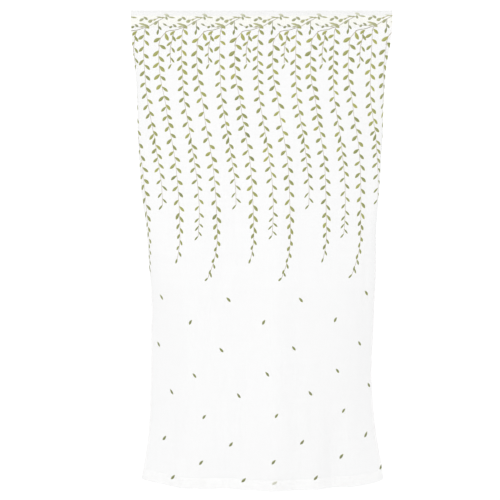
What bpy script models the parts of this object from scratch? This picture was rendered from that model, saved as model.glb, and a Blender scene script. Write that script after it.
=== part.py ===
"""Sheer curtain panel that hangs from a rod pocket along its top edge.

Units are metres and +Z is up. X runs across the curtain and its face side looks along -Y.
The origin is halfway along the rod pocket, on the axis of the rod that goes through it.
"""

import math

import bpy
import numpy as np

# Sizes of the finished cloth
WIDTH = 1.070
CLOTH = 0.0012
HEM_CLOTH = 0.0022
SIDE_HEM = 0.014
BOTTOM_HEM = 0.045
HEM_STEP = 0.0015

# Rod pocket, measured from the rod's axis
POCKET_RADIUS = 0.0130
STITCH_DROP = 0.0520
ARC_STEPS = 16

# Sheet below the stitch line
SEAM_GAP = 0.0003
SHEET_LENGTH = 1.894
STIFF_STRIP = 0.006
EDGE_STRIP = 0.090
EDGE_COLUMNS = 9
MIDDLE_COLUMNS = 33
ROWS = 34
FINE = 4

# How the sheet turns back from flat, with a column of numbers for each height below the stitch.
# The turn grows steadily from the middle to each side, in degrees at the side edge.
# The curl, in degrees too, is added in a strip of the given width along each side.
HANG = {
    "drop": (0.00, 0.15, 0.30, 0.45, 0.55, 0.70, 0.80, 0.95, 1.20, 1.50, 1.70, 1.80, 1.90),
    "left_turn": (0, 0, 10, 16, 18, 18, 20, 25, 40, 48, 44, 38, 30),
    "right_turn": (0, 4, 16, 20, 24, 26, 28, 30, 36, 44, 40, 32, 24),
    "left_curl": (0, 50, 60, 54, 46, 44, 58, 45, 15, 0, 0, 0, 0),
    "right_curl": (0, 55, 50, 50, 52, 60, 50, 26, 14, 6, 0, 0, 0),
    "left_strip": (0.09, 0.08, 0.06, 0.05, 0.07, 0.10, 0.10, 0.14, 0.25, 0.25, 0.25, 0.25, 0.25),
    "right_strip": (0.09, 0.08, 0.07, 0.06, 0.05, 0.05, 0.07, 0.14, 0.24, 0.25, 0.25, 0.25, 0.25),
}

# Soft upright folds, a row for each: place across at the stitch line and at the hem,
# width, depth towards the back, and the drops at which it begins and is full.
FOLDS = (
    {"top": -0.30, "foot": -0.33, "width": 0.060, "depth": -0.009, "begins": 0.25, "full": 0.90},
    {"top": -0.12, "foot": -0.16, "width": 0.075, "depth": 0.024, "begins": 0.30, "full": 0.80},
    {"top": 0.07, "foot": 0.05, "width": 0.070, "depth": -0.023, "begins": 0.30, "full": 0.80},
    {"top": 0.30, "foot": 0.32, "width": 0.055, "depth": 0.023, "begins": 1.40, "full": 1.80},
)

HALF = WIDTH / 2


def clear_scene():
    """Removes the objects that a new Blender file comes with."""
    for item in list(bpy.data.objects):
        bpy.data.objects.remove(item, do_unlink=True)


def cloth_material(name, colour, roughness):
    """Matt woven cloth."""
    material = bpy.data.materials.new(name)
    material.use_nodes = True
    shader = material.node_tree.nodes["Principled BSDF"]
    shader.inputs["Base Color"].default_value = (*colour, 1.0)
    shader.inputs["Roughness"].default_value = roughness
    shader.inputs["Metallic"].default_value = 0.0
    return material


def smooth_step(low, high, value):
    """Rises from 0 at low to 1 at high with level ends."""
    share = np.clip((value - low) / (high - low), 0.0, 1.0)
    return share * share * (3.0 - 2.0 * share)


def smooth_column(name, drop):
    """One column of HANG at the given drops: a cubic through its rows, with no corners."""
    place = np.array(HANG["drop"], dtype=float)
    value = np.array(HANG[name], dtype=float)
    slope = np.gradient(value, place)
    row = np.clip(np.searchsorted(place, drop) - 1, 0, len(place) - 2)
    span = place[row + 1] - place[row]
    t = (drop - place[row]) / span
    start = (2 * t**3 - 3 * t**2 + 1) * value[row] + (t**3 - 2 * t**2 + t) * span * slope[row]
    end = (3 * t**2 - 2 * t**3) * value[row + 1] + (t**3 - t**2) * span * slope[row + 1]
    return start + end


def plan_angle(across, drop):
    """Angle in radians between the sheet and the rod, seen from above, for a grid of places."""
    right = across > 0
    turn = np.where(right, smooth_column("right_turn", drop), smooth_column("left_turn", drop))
    curl = np.where(right, smooth_column("right_curl", drop), smooth_column("left_curl", drop))
    strip = np.where(right, smooth_column("right_strip", drop), smooth_column("left_strip", drop))
    from_edge = HALF - np.abs(across)
    bend = turn * np.abs(across) / HALF + curl * smooth_step(0.0, 1.0, 1.0 - from_edge / strip)
    angle = np.radians(bend) * np.sign(across)
    for fold in FOLDS:
        place = fold["top"] + (fold["foot"] - fold["top"]) * drop / SHEET_LENGTH
        offset = (across - place) / fold["width"]
        steepness = -2.0 * fold["depth"] / fold["width"]
        share = smooth_step(fold["begins"], fold["full"], drop)
        angle = angle + share * steepness * offset * np.exp(-offset * offset)
    return angle


def running_sum(rate, places, axis):
    """Adds up a rate along one axis of a grid, from 0, by the trapezium rule."""
    rate = np.moveaxis(rate, axis, 0)
    strips = (rate[1:] + rate[:-1]) / 2 * np.diff(places)[:, None]
    total = np.concatenate([np.zeros_like(rate[:1]), np.cumsum(strips, axis=0)])
    return np.moveaxis(total, 0, axis)


def hanging_sheet(across, drop):
    """Points of the hung sheet on a grid of rows down the cloth and columns across it.

    The cloth doesn't stretch. Across it, each short piece keeps its length and points along the
    plan angle. Down it, each short piece leans as its row moves and falls by what is left of its
    length. Each row hangs with its middle of weight under the rod, half a layer behind the face.
    The stitching keeps a narrow strip under it flat.
    """
    u, v = np.meshgrid(across, drop)
    angle = plan_angle(u, np.maximum(v - STIFF_STRIP, 0.0))
    x = running_sum(np.cos(angle), across, 1)
    y = running_sum(np.sin(angle), across, 1)
    middle = len(across) // 2
    x -= x[:, [middle]]
    weight = np.gradient(across)
    y -= (y * weight).sum(axis=1, keepdims=True) / weight.sum() + CLOTH / 2
    lean = np.gradient(x, drop, axis=0) ** 2 + np.gradient(y, drop, axis=0) ** 2
    z = -running_sum(np.sqrt(1.0 - lean), drop, 0) - STITCH_DROP - SEAM_GAP
    return np.stack([x, y, z], axis=-1)


def grid_places():
    """Places of the sheet's columns and rows, closer where it curls, at each hem and at the stitching."""
    side = np.array([HALF, HALF - SIDE_HEM, HALF - SIDE_HEM - HEM_STEP])
    strip = HALF - EDGE_STRIP
    curled = np.linspace(side[-1], strip, EDGE_COLUMNS - 1)[1:]
    edge = np.concatenate([side, curled])
    middle = np.linspace(-strip, strip, MIDDLE_COLUMNS)[1:-1]
    across = np.concatenate([-edge, middle, edge[::-1]])
    hem = np.array([SHEET_LENGTH - BOTTOM_HEM - HEM_STEP, SHEET_LENGTH - BOTTOM_HEM, SHEET_LENGTH])
    between = np.linspace(STIFF_STRIP, hem[0], ROWS - 2, endpoint=False)
    drop = np.concatenate([[0.0], between, hem])
    return across, drop


def with_fine_steps(places):
    """The same places with FINE even steps from each one to the next."""
    line = np.arange(len(places))
    return np.interp(np.arange((len(places) - 1) * FINE + 1) / FINE, line, places)


def add_panel(collection, material):
    """The hung sheet: a flat grid moved onto the hanging form of its face, then thickened behind.

    The form is worked out in fine steps, and the grid takes the points at its own lines.
    """
    across, drop = grid_places()
    columns, rows = len(across), len(drop)
    bpy.ops.mesh.primitive_grid_add(x_subdivisions=columns - 1, y_subdivisions=rows - 1, size=1.0)
    panel = bpy.context.object
    panel.name = "panel"
    panel.data.name = "panel"
    # The grid's points run along X, from its lowest Y up, so the drops are taken from the hem up.
    form = hanging_sheet(with_fine_steps(across), with_fine_steps(drop))
    points = form[::-FINE, ::FINE]
    panel.data.vertices.foreach_set("co", points.reshape(-1))
    panel.data.update()

    u, v = np.meshgrid(across, drop[::-1])
    near_side = np.abs(u) >= HALF - SIDE_HEM
    near_foot = v >= SHEET_LENGTH - BOTTOM_HEM
    hems = panel.vertex_groups.new(name="hems")
    turned = np.flatnonzero((near_side | near_foot).reshape(-1))
    hems.add(turned.tolist(), 1.0, "REPLACE")

    wall = panel.modifiers.new("cloth thickness", "SOLIDIFY")
    wall.thickness = HEM_CLOTH
    wall.offset = -1.0
    wall.vertex_group = hems.name
    wall.thickness_vertex_group = CLOTH / HEM_CLOTH
    place_in(collection, panel)
    panel.data.materials.append(material)
    panel.data.shade_smooth()
    return panel


def pocket_outlines():
    """Outer and inner outline of the pocket's section, as (y, z) points.

    Both are a round top and two straight sides. The outer sides touch the round top and run down
    to the seam, which is two layers thick. The inner sides are parallel to them, one layer in,
    and meet above the seam.
    """
    outer_radius = POCKET_RADIUS + CLOTH
    reach = math.hypot(CLOTH, STITCH_DROP)
    touch = math.atan2(-STITCH_DROP, CLOTH) + math.acos(outer_radius / reach)
    angles = [touch + (math.pi - 2 * touch) * step / ARC_STEPS for step in range(ARC_STEPS + 1)]
    outer = [(outer_radius * math.cos(a), outer_radius * math.sin(a)) for a in angles]
    outer += [(-CLOTH, -STITCH_DROP), (CLOTH, -STITCH_DROP)]
    inner = [(POCKET_RADIUS * math.cos(a), POCKET_RADIUS * math.sin(a)) for a in angles]
    inner += [(0.0, POCKET_RADIUS / math.sin(touch))]
    return outer, inner


def add_heading(collection, material):
    """The rod pocket: its section, with the hole in it, drawn out along the rod."""
    curve = bpy.data.curves.new("heading", "CURVE")
    curve.dimensions = "2D"
    curve.fill_mode = "BOTH"
    curve.extrude = HALF
    for outline in pocket_outlines():
        spline = curve.splines.new("POLY")
        spline.points.add(len(outline) - 1)
        for point, (across, up) in zip(spline.points, outline):
            point.co = (across, up, 0.0, 1.0)
        spline.use_cyclic_u = True
    heading = bpy.data.objects.new("heading", curve)
    # The section's own X and Y become the world's Y and Z, so it is drawn out along X.
    heading.rotation_euler = (math.pi / 2, 0.0, math.pi / 2)
    collection.objects.link(heading)
    seal = heading.modifiers.new("sealed ends", "WELD")
    seal.merge_threshold = 0.00001
    curve.materials.append(material)
    return heading


def place_in(collection, item):
    """Moves an object from the collection that Blender put it in to the curtain's own."""
    for old in list(item.users_collection):
        old.objects.unlink(item)
    collection.objects.link(item)


def build_curtain():
    """Makes the two pieces of the curtain."""
    clear_scene()
    collection = bpy.data.collections.new("sheer_curtain")
    bpy.context.scene.collection.children.link(collection)
    voile = cloth_material("printed voile", (0.90, 0.91, 0.89), 0.85)
    pocket = cloth_material("pocket voile", (0.86, 0.87, 0.84), 0.85)
    add_heading(collection, pocket)
    add_panel(collection, voile)


build_curtain()
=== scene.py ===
# %% [markdown]
# This lesson dresses a sheer curtain panel. The real one is a single width of thin white voile,
# about 1.07 m wide and 1.96 m long, printed with hanging willow twigs. Its top is sewn into a
# pocket for a rod, its sides and foot are turned back and stitched, and it hangs under its weight.
# Everything here is worked out in the cloth's own flat measures first: how far across it a place
# is, and how far down from the fold at its top. The same two numbers place the print, the weave,
# the hems and the stitches, so they bend with the cloth as they do on the real one.

import math

import bpy
import numpy as np
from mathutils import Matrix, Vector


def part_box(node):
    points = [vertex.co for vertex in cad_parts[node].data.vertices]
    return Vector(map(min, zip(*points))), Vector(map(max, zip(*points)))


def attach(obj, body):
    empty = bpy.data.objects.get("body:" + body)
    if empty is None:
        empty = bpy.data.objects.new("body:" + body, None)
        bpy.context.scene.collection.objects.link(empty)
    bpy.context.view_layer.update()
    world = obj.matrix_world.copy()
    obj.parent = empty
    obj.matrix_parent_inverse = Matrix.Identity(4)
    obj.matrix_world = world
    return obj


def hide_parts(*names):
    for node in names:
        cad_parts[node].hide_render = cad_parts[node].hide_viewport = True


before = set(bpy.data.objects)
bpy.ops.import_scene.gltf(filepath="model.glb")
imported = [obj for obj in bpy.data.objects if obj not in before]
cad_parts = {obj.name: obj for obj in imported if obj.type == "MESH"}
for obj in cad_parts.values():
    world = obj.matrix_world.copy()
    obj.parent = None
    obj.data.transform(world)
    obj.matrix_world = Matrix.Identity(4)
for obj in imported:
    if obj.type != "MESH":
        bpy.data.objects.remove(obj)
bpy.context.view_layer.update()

# %% [markdown]
# The heading's box gives the width of the cloth, the height of the fold at the top and the height
# of the seam under the pocket. The rod's axis goes through the origin. The cloth's own thickness
# in the frame is kept here as one value, because the visible sheet is its front side.

# %% Measure the frame
MM = 0.001
heading_low, heading_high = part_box("heading")
HALF = heading_high.x
POCKET_RADIUS = heading_high.z
CLOTH = 1.2 * MM
SEAM_GAP = 0.3 * MM
SEAM_Z = heading_low.z - SEAM_GAP
FACE_Y = -CLOTH / 2
SHEET_LENGTH = 1.894
SIDE_HEM = 14 * MM
BOTTOM_HEM = 45 * MM
print("half width", round(HALF, 4), "seam at", round(SEAM_Z, 4))

# %% [markdown]
# Three small tools serve every curve in the lesson. One draws a smooth curve through the rows of a
# short table, which is how a maker's handful of measurements becomes a line without corners. The
# next rises softly from 0 to 1, and blends one state of the cloth into another. The last adds up a
# slope step by step, which gives the curve that has this slope.


# %% Curves through tables
def through_rows(places, values, at):
    """Cubic through table rows: each row's slope is that of its neighbours' chord (Hermite form)."""
    places = np.array(places, dtype=float)
    values = np.array(values, dtype=float)
    slopes = np.gradient(values, places)
    row = np.clip(np.searchsorted(places, at) - 1, 0, len(places) - 2)
    span = places[row + 1] - places[row]
    t = np.clip((at - places[row]) / span, 0.0, 1.0)
    first = (2 * t**3 - 3 * t**2 + 1) * values[row] + (t**3 - 2 * t**2 + t) * span * slopes[row]
    last = (3 * t**2 - 2 * t**3) * values[row + 1] + (t**3 - t**2) * span * slopes[row + 1]
    return first + last


def smooth_step(low, high, value):
    """3t squared less 2t cubed, where t runs from 0 at low to 1 at high."""
    t = np.clip((value - low) / (high - low), 0.0, 1.0)
    return t * t * (3.0 - 2.0 * t)


def running_sum(rate, step, axis):
    """Adds up a rate along one axis of an even grid, from 0, by the trapezium rule."""
    rate = np.moveaxis(rate, axis, 0)
    strips = (rate[1:] + rate[:-1]) / 2 * step
    total = np.concatenate([np.zeros_like(rate[:1]), np.cumsum(strips, axis=0)])
    return np.moveaxis(total, 0, axis)


print("half way up the soft step:", smooth_step(0.0, 1.0, np.array(0.5)))

# %% [markdown]
# The hung sheet is flat at the seam. Lower down its sides turn back, most of all near the hem, and
# a strip along each side curls further in the upper half. The table gives both in degrees for
# heights below the seam. A few soft upright folds run down the middle of the cloth. These are the
# frame's own forms, worked out again on a much finer grid. A cloth simulation could drape a sheet
# too, but it wouldn't settle into the folds of this one, so its form is measured instead.

# %% Form of the hung sheet
HANG = {
    "drop": (0.00, 0.15, 0.30, 0.45, 0.55, 0.70, 0.80, 0.95, 1.20, 1.50, 1.70, 1.80, 1.90),
    "left_turn": (0, 0, 10, 16, 18, 18, 20, 25, 40, 48, 44, 38, 30),
    "right_turn": (0, 4, 16, 20, 24, 26, 28, 30, 36, 44, 40, 32, 24),
    "left_curl": (0, 50, 60, 54, 46, 44, 58, 45, 15, 0, 0, 0, 0),
    "right_curl": (0, 55, 50, 50, 52, 60, 50, 26, 14, 6, 0, 0, 0),
    "left_strip": (0.09, 0.08, 0.06, 0.05, 0.07, 0.10, 0.10, 0.14, 0.25, 0.25, 0.25, 0.25, 0.25),
    "right_strip": (0.09, 0.08, 0.07, 0.06, 0.05, 0.05, 0.07, 0.14, 0.24, 0.25, 0.25, 0.25, 0.25),
}
FOLDS = (
    {"top": -0.30, "foot": -0.33, "width": 0.060, "depth": -0.009, "begins": 0.25, "full": 0.90},
    {"top": -0.12, "foot": -0.16, "width": 0.075, "depth": 0.024, "begins": 0.30, "full": 0.80},
    {"top": 0.07, "foot": 0.05, "width": 0.070, "depth": -0.023, "begins": 0.30, "full": 0.80},
    {"top": 0.30, "foot": 0.32, "width": 0.055, "depth": 0.023, "begins": 1.40, "full": 1.80},
)
STIFF_STRIP = 0.006


def plan_angle(u, v):
    """Angle between cloth and rod seen from above: turn grows evenly with the distance from the
    middle, curl rises softly across its strip, and each fold adds the slope of a bell curve."""
    right = u > 0
    turn, curl, strip = (
        np.where(
            right,
            through_rows(HANG["drop"], HANG["right_" + name], v),
            through_rows(HANG["drop"], HANG["left_" + name], v),
        )
        for name in ("turn", "curl", "strip")
    )
    from_edge = HALF - np.abs(u)
    bend = turn * np.abs(u) / HALF + curl * smooth_step(0.0, 1.0, 1.0 - from_edge / strip)
    angle = np.radians(bend) * np.sign(u)
    for fold in FOLDS:
        place = fold["top"] + (fold["foot"] - fold["top"]) * v / SHEET_LENGTH
        offset = (u - place) / fold["width"]
        share = smooth_step(fold["begins"], fold["full"], v)
        angle += share * (-2 * fold["depth"] / fold["width"]) * offset * np.exp(-(offset**2))
    return angle


def hung_form(u, v):
    """Points of cloth that doesn't stretch: across it the angle above is followed, each row's
    middle of weight hangs under the rod, and each row falls by what its lean leaves of it."""
    across, drop = np.meshgrid(u, v)
    step_u, step_v = u[1] - u[0], v[1] - v[0]
    angle = plan_angle(across, np.maximum(drop - STIFF_STRIP, 0.0))
    x = running_sum(np.cos(angle), step_u, 1)
    y = running_sum(np.sin(angle), step_u, 1)
    x -= x[:, [len(u) // 2]]
    weight = np.ones(len(u))
    weight[[0, -1]] = 0.5
    y += FACE_Y - (y * weight).sum(axis=1, keepdims=True) / weight.sum()
    lean = np.gradient(x, step_v, axis=0) ** 2 + np.gradient(y, step_v, axis=0) ** 2
    z = SEAM_Z - running_sum(np.sqrt(1.0 - lean), step_v, 0)
    return np.stack([x, y, z], axis=-1)


BASE_COLUMNS = 429
BASE_ROWS = 759
base_u = np.linspace(-HALF, HALF, BASE_COLUMNS)
base_v = np.linspace(0.0, SHEET_LENGTH, BASE_ROWS)
base = hung_form(base_u, base_v)
print("form, low and high:", base.min(axis=(0, 1)).round(4), base.max(axis=(0, 1)).round(4))

# %% [markdown]
# Voile that has been packed and hung keeps shallow creases. They are listed one row each:
# where the crease starts and ends, how wide and how deep it is. A minus depth stands towards the
# front. The seam draws the cloth in, so short puckers fan down from it, and a light ripple runs
# along the hem. All of it moves the cloth along its own normal, by a few millimetres at most.

# %% Creases and puckers
CREASES = (
    {"from": (-0.235, 1.08), "to": (-0.215, 1.42), "width": 0.012, "depth": 0.0022},
    {"from": (-0.275, 1.02), "to": (-0.262, 1.33), "width": 0.016, "depth": -0.0018},
    {"from": (-0.300, 1.16), "to": (-0.285, 1.50), "width": 0.010, "depth": 0.0014},
    {"from": (0.455, 0.62), "to": (0.470, 1.35), "width": 0.018, "depth": 0.0030},
    {"from": (0.395, 0.30), "to": (0.410, 0.90), "width": 0.022, "depth": -0.0020},
    {"from": (-0.480, 0.30), "to": (-0.470, 0.62), "width": 0.010, "depth": 0.0030},
    {"from": (-0.505, 0.34), "to": (-0.500, 0.50), "width": 0.007, "depth": -0.0020},
    {"from": (0.020, 1.10), "to": (0.010, 1.72), "width": 0.020, "depth": 0.0020},
    {"from": (-0.060, 1.25), "to": (-0.085, 1.80), "width": 0.018, "depth": -0.0018},
    {"from": (0.180, 1.35), "to": (0.195, 1.86), "width": 0.022, "depth": -0.0022},
    {"from": (-0.400, 1.45), "to": (-0.390, 1.86), "width": 0.020, "depth": 0.0024},
    {"from": (0.365, 1.50), "to": (0.350, 1.86), "width": 0.018, "depth": 0.0018},
    {"from": (0.240, 0.10), "to": (0.255, 0.48), "width": 0.016, "depth": 0.0012},
    {"from": (-0.170, 0.12), "to": (-0.160, 0.55), "width": 0.018, "depth": -0.0012},
)
PUCKER_PITCH = 0.031
PUCKER_DEPTH = 0.0006
PUCKER_LENGTH = 0.050
PUCKER_PEAK = 0.4
PUCKER_WAVES = ((0.6, 37.0, 0.0), (0.4, 91.0, 1.3))
CREASE_FADE = 0.3
HEM_RIPPLE = 0.0011
HEM_RIPPLE_PITCH = 0.143
HEM_RIPPLE_RISE = 0.30
HEM_RIPPLE_SLANT = 0.25


def relief(u, v):
    """Height behind the plain form: each crease is a bell curve across its line, faded at both
    ends, puckers are a sine that dies away below the seam, and the hem ripple grows to the foot."""
    total = np.zeros(u.shape)
    for crease in CREASES:
        (u0, v0), (u1, v1) = crease["from"], crease["to"]
        share = (v - v0) / (v1 - v0)
        offset = (u - (u0 + (u1 - u0) * share)) / crease["width"]
        fade = smooth_step(0.0, CREASE_FADE, share) * smooth_step(0.0, CREASE_FADE, 1.0 - share)
        total += crease["depth"] * fade * np.exp(-(offset**2))
    uneven = 1.0 + sum(size * np.sin(u * rate + shift) for size, rate, shift in PUCKER_WAVES)
    near_seam = (v / PUCKER_LENGTH) * np.exp(1.0 - v / (PUCKER_LENGTH * PUCKER_PEAK))
    total += PUCKER_DEPTH * uneven * np.sin(2 * math.pi * u / PUCKER_PITCH) * near_seam
    near_foot = smooth_step(SHEET_LENGTH - HEM_RIPPLE_RISE, SHEET_LENGTH, v)
    along_ripple = (u + HEM_RIPPLE_SLANT * v) / HEM_RIPPLE_PITCH
    total += HEM_RIPPLE * near_foot * np.sin(2 * math.pi * along_ripple)
    return total


def back_normals(points):
    """Unit normals towards the back: the step across crossed with the step down."""
    across = np.gradient(points, axis=1)
    down = np.gradient(points, axis=0)
    normal = np.cross(across, down)
    return normal / np.linalg.norm(normal, axis=-1, keepdims=True)


grid_u, grid_v = np.meshgrid(base_u, base_v)
base = base + back_normals(base) * relief(grid_u, grid_v)[..., None]
base_normals = back_normals(base)
print("deepest crease", round(float(relief(grid_u, grid_v).max()) / MM, 2), "mm")

# %% [markdown]
# The cloth was cut wider and longer than it hangs. Each side was turned to the back by 14 mm, and
# then the foot by 45 mm, so four layers lie on each other at the lower corners. The turns could be
# a Solidify with a thicker edge, but then the print on the turned part would be lost. Here the cut
# sheet is one open surface that really goes round each turn, a half circle, and back up.

# %% Turned hems
SIDE_BEND = 0.4 * MM
FOOT_BEND = 1.0 * MM
BEND_STEPS = 6
COLUMN_STEP = 4.6 * MM
ROW_STEP = 6.0 * MM
JUST_INSIDE = 1.001
side_arc = math.pi * SIDE_BEND
foot_arc = math.pi * FOOT_BEND
CUT_HALF = HALF - SIDE_BEND + side_arc + SIDE_HEM - SIDE_BEND
CUT_LENGTH = SHEET_LENGTH - FOOT_BEND + foot_arc + BOTTOM_HEM - FOOT_BEND


def even_steps(start, end, step):
    """Places from start to end in even steps, each about as long as step."""
    return np.linspace(start, end, max(2, round((end - start) / step) + 1))


def places_with_bend(start, bend_starts, arc, end, step):
    """Places on the cut cloth from start to end, close together where it goes round its bend."""
    flat = even_steps(start, bend_starts, step)
    bend = np.linspace(bend_starts, bend_starts + arc, BEND_STEPS + 1)[1:]
    turned = even_steps(bend_starts + arc, end, step)[1:]
    return np.concatenate([flat, bend, turned])


def turned_place(cut, bend_starts, radius, inner):
    """Where a turned cloth lies. Before the bend it is at its own place, at depth inner. Round it
    the place moves on by (radius - inner) sin and the depth by (radius - inner) (1 - cos), and
    after half a turn it runs back at depth 2 radius - inner."""
    turn = np.clip((cut - bend_starts) / radius, 0.0, math.pi)
    past = np.maximum(cut - bend_starts - math.pi * radius, 0.0)
    place = np.minimum(cut, bend_starts) + (radius - inner) * np.sin(turn) - past
    depth = radius - (radius - inner) * np.cos(turn)
    return place, depth


def sample(points, u, v):
    """Reads an even base grid between its points: weighs the four nearest by how close they are."""
    column = np.clip((u + HALF) / (2 * HALF) * (BASE_COLUMNS - 1), 0, BASE_COLUMNS - JUST_INSIDE)
    row = np.clip(v / SHEET_LENGTH * (BASE_ROWS - 1), 0, BASE_ROWS - JUST_INSIDE)
    left, above = column.astype(int), row.astype(int)
    across, down = (column - left)[..., None], (row - above)[..., None]
    upper = points[above, left] * (1 - across) + points[above, left + 1] * across
    lower = points[above + 1, left] * (1 - across) + points[above + 1, left + 1] * across
    return upper * (1 - down) + lower * down


side_places = places_with_bend(0.0, HALF - SIDE_BEND, side_arc, CUT_HALF, COLUMN_STEP)
cut_across = np.concatenate([-side_places[:0:-1], side_places])
cut_drop = places_with_bend(0.0, SHEET_LENGTH - FOOT_BEND, foot_arc, CUT_LENGTH, ROW_STEP)
place_u, side_depth = turned_place(np.abs(cut_across), HALF - SIDE_BEND, SIDE_BEND, 0.0)
place_u = place_u * np.sign(cut_across)
place_v, depth = turned_place(
    cut_drop[:, None], SHEET_LENGTH - FOOT_BEND, FOOT_BEND, side_depth[None, :]
)
all_u = np.broadcast_to(place_u, place_v.shape)
sheet_points = sample(base, all_u, place_v) + sample(base_normals, all_u, place_v) * depth[..., None]
print("cut sheet", round(2 * CUT_HALF, 4), "by", round(CUT_LENGTH, 4), "grid", sheet_points.shape[:2])

# %% [markdown]
# The pocket is the top of the same cloth, laid over the rod and sewn down behind, with its raw
# edge turned in. Seen from its end it is a drop: round over the rod, then straight on both sides
# down to the seam. A turned shape or an extruded curve would do, but a path worked out by length
# also tells which part of the print lies where.

# %% Form of the pocket
TURNED_IN = 10 * MM
INNER_Y = 0.2 * MM
pocket_reach = math.hypot(FACE_Y, SEAM_Z)
TOUCH_TURN = math.pi - math.atan2(-FACE_Y, -SEAM_Z) - math.acos(POCKET_RADIUS / pocket_reach)
STRAIGHT = math.sqrt(pocket_reach**2 - POCKET_RADIUS**2)
SEAM_DROP = POCKET_RADIUS * TOUCH_TURN + STRAIGHT


def pocket_section(drop):
    """Points (y, z) for lengths of cloth from the fold on top, plus in front and minus behind:
    a circle round the rod's axis up to where the straight side touches it, then that side."""
    side = np.where(drop < 0, 1.0, -1.0)
    length = np.abs(drop)
    turn = np.minimum(length / POCKET_RADIUS, TOUCH_TURN)
    y = side * POCKET_RADIUS * np.sin(turn)
    z = POCKET_RADIUS * np.cos(turn)
    past = np.clip(length / POCKET_RADIUS - TOUCH_TURN, 0.0, None) * POCKET_RADIUS / STRAIGHT
    share = np.minimum(past, 1.0)
    y = y + (side * -FACE_Y - y) * share
    z = z + (SEAM_Z - z) * share
    turned = np.clip(length - SEAM_DROP, 0.0, None)
    y = np.where(turned > 0, INNER_Y, y)
    return y, z + turned


ROUND_STEP = 1.8 * MM
front_round = even_steps(0.0, POCKET_RADIUS * TOUCH_TURN, ROUND_STEP)
side_run = even_steps(front_round[-1], SEAM_DROP, ROW_STEP)[1:]
front_side = np.concatenate([front_round, side_run])
turned_edge = even_steps(SEAM_DROP, SEAM_DROP + TURNED_IN, ROW_STEP)[1:]
pocket_drop = np.concatenate([-turned_edge[::-1], -front_side[:0:-1], front_side])
pocket_y, pocket_z = pocket_section(pocket_drop)
print("cloth from the fold to the seam", round(SEAM_DROP / MM, 1), "mm")

# %% [markdown]
# Every cloth piece is a grid: rows down the cloth, columns across it. The mesh is filled from whole
# arrays, and the four corners of a face run down first and then across, which turns the faces
# towards the printed side. The grid's flat places, in metres, become its UV map, so a pattern in
# the cloth keeps its real size wherever the cloth bends.


# %% Grid to mesh
def into_scene(name, data):
    """An object with this data, linked to the scene."""
    item = bpy.data.objects.new(name, data)
    bpy.context.scene.collection.objects.link(item)
    return item


def corner_values(values):
    """Gathers a grid's values at the corners of its faces: upper left, lower left, lower right,
    upper right, as an array of rows, columns, corners."""
    corners = (values[:-1, :-1], values[1:, :-1], values[1:, 1:], values[:-1, 1:])
    return np.stack(corners, axis=2)


def cloth_mesh(name, points, across, drop):
    """A mesh from a grid of points, with the flat places across and down the cloth as UV map."""
    rows, columns = points.shape[:2]
    numbers = np.arange(rows * columns).reshape(rows, columns)
    corners = corner_values(numbers).reshape(-1)
    faces = len(corners) // 4
    mesh = bpy.data.meshes.new(name)
    mesh.vertices.add(rows * columns)
    mesh.vertices.foreach_set("co", points.reshape(-1))
    mesh.loops.add(len(corners))
    mesh.loops.foreach_set("vertex_index", corners)
    mesh.polygons.add(faces)
    mesh.polygons.foreach_set("loop_start", np.arange(faces) * 4)
    mesh.update(calc_edges=True)
    flat = np.stack(np.broadcast_arrays(across[None, :], drop[:, None]), axis=-1)
    layer = mesh.uv_layers.new(name="cloth")
    layer.data.foreach_set("uv", corner_values(flat).reshape(-1).astype(np.float32))
    mesh.shade_smooth()
    print(name, "faces", faces)
    return into_scene(name, mesh)


SHEET_DROP = SEAM_DROP + cut_drop
hanging_cloth = cloth_mesh("hanging_cloth", sheet_points, cut_across, SHEET_DROP)

# %% [markdown]
# The pocket's sides are hemmed before it is laid over the rod, so its columns are those of the
# sheet below, and the turned strips lie on its inner side. Its foot on the front is the sheet's
# first row, point for point.

# %% Pocket piece
pocket_u = np.broadcast_to(place_u, (len(pocket_drop), len(place_u)))
section = np.broadcast_to(np.stack([pocket_y, pocket_z], axis=-1)[:, None, :], (*pocket_u.shape, 2))
pocket_points = np.concatenate([pocket_u[..., None], section], axis=-1)
straight_across = np.stack([cut_across, 0 * cut_across, 0 * cut_across], axis=-1)
normal_points = straight_across[None] + np.concatenate([0 * pocket_u[..., None], section], axis=-1)
pocket_points = pocket_points + back_normals(normal_points) * side_depth[None, :, None]
pocket_cloth = cloth_mesh("pocket_cloth", pocket_points, cut_across, pocket_drop)

# %% [markdown]
# The print repeats every 308.6 mm across, and half of that carries one short and one long twig.
# Its charts are written here in millimetres: across from the middle of the cloth, and the height
# under the fold as it is seen from the front. On the pocket the cloth goes round and leans, so a
# seen height is first turned into a length of cloth. A chart of twigs and a rule for leaves is what
# a designer would keep, where a picture of the print would only be a picture.

# %% Places of the print
HALF_REPEAT = 154.3 * MM
SECTION_STEPS = 400
lengths = np.linspace(0.0, SEAM_DROP, SECTION_STEPS)
seen_heights = POCKET_RADIUS - pocket_section(lengths)[1]
SEAM_HEIGHT = POCKET_RADIUS - SEAM_Z


def cloth_drop(height):
    """Length of cloth between the fold and a seen height: read from the pocket's section as far
    as the seam, and one to one below it."""
    on_pocket = np.interp(height, seen_heights, lengths)
    return on_pocket + np.maximum(height - SEAM_HEIGHT, 0.0)


TWIG_LINES = {
    "short": {
        "height": (78, 110, 190, 286, 368, 450, 532, 614, 696, 778, 942, 1000),
        "across": (-476, -477, -479, -477, -471, -458, -444, -432, -421, -416, -414, -413),
    },
    "long": {
        "height": (116, 146, 190, 235, 286, 368, 450, 532, 614, 696, 778, 942, 1120),
        "across": (-410, -415, -418, -417, -413, -397, -386, -371, -358, -350, -346, -341, -339),
    },
}
print("half repeats across the cloth:", round(2 * CUT_HALF / HALF_REPEAT, 1))

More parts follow.
